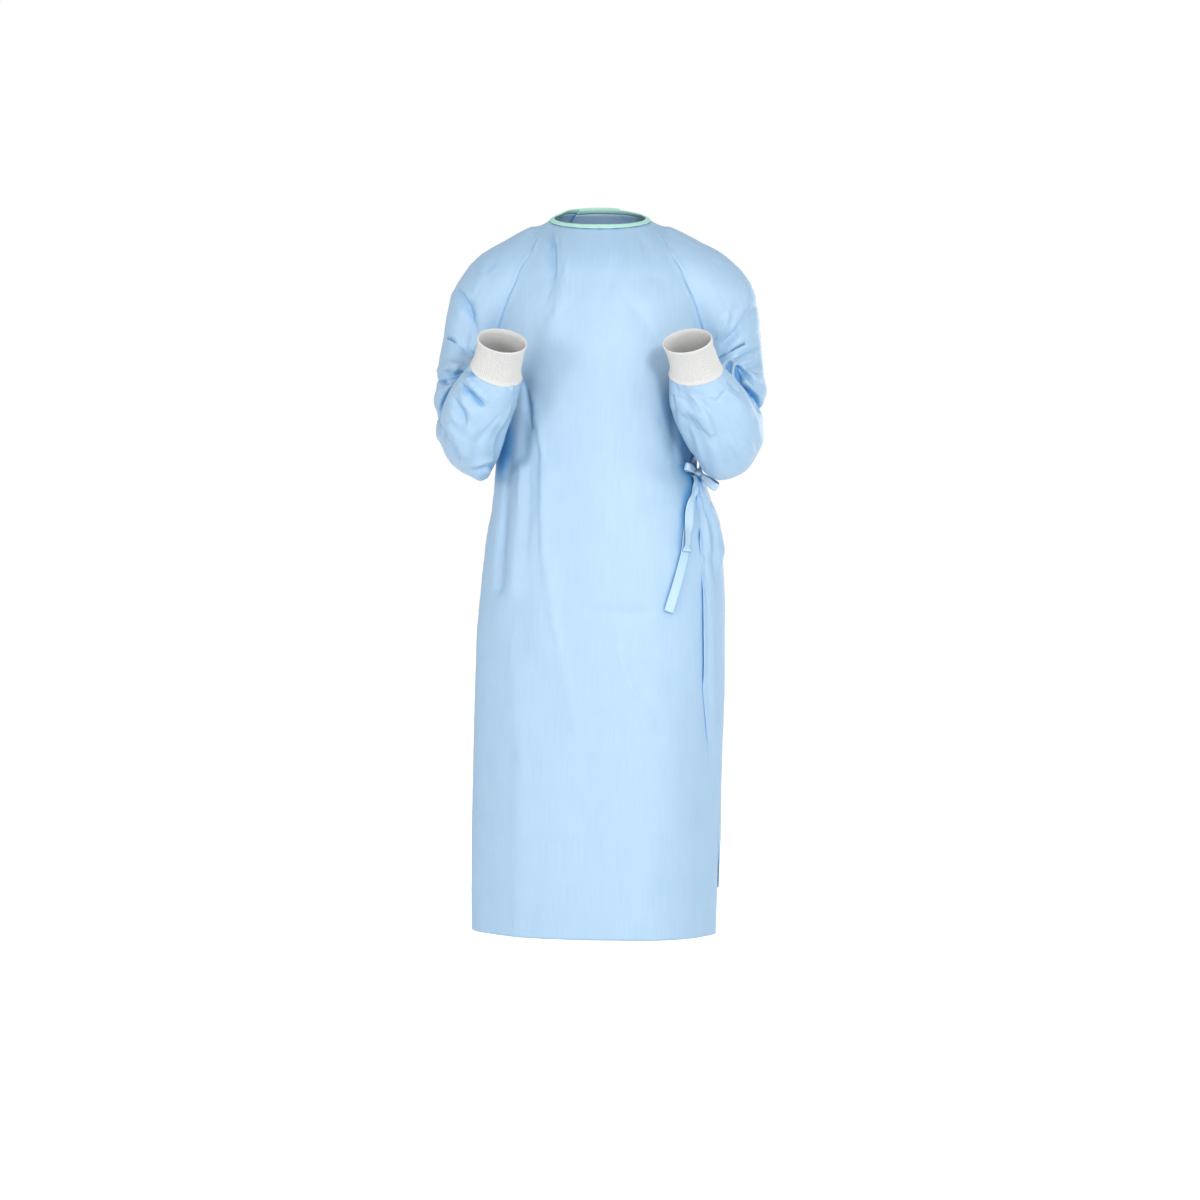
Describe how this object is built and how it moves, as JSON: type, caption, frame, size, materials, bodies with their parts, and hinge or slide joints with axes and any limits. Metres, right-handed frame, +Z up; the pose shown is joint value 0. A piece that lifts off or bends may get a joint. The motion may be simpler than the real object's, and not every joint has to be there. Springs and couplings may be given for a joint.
{
  "type": "surgical gown",
  "caption": "Long wraparound surgical gown in worn form, raglan sleeves raised, rib knit cuffs, bound round neck, bow tied at the left hip.",
  "frame": {"origin": "middle of the neck opening, level with the neck's side points, where the wearer's shoulders carry the gown", "axes": "+Z up along the gown's length, -Y towards the gown's front, +X towards the wearer's left"},
  "size_m": [0.5564, 0.4075, 1.2367],
  "materials": {
    "sms_blue": "matte smooth nonwoven",
    "knit_white": "fine rib knit",
    "mint_binding": "soft woven tape"
  },
  "bodies": {
    "root": {"front_panel": "sms_blue", "back_wrap": "sms_blue", "back_under": "sms_blue", "sleeve_right": "sms_blue", "sleeve_left": "sms_blue", "cuff_right": "knit_white", "cuff_left": "knit_white", "neck_binding": "mint_binding", "neck_tab": "sms_blue", "tie_knot": "sms_blue", "tie_loop_left": "sms_blue", "tie_loop_right": "sms_blue", "tie_tail_short": "sms_blue", "tie_tail_long": "sms_blue", "tie_belt": "sms_blue"}
  },
  "joints": []
}
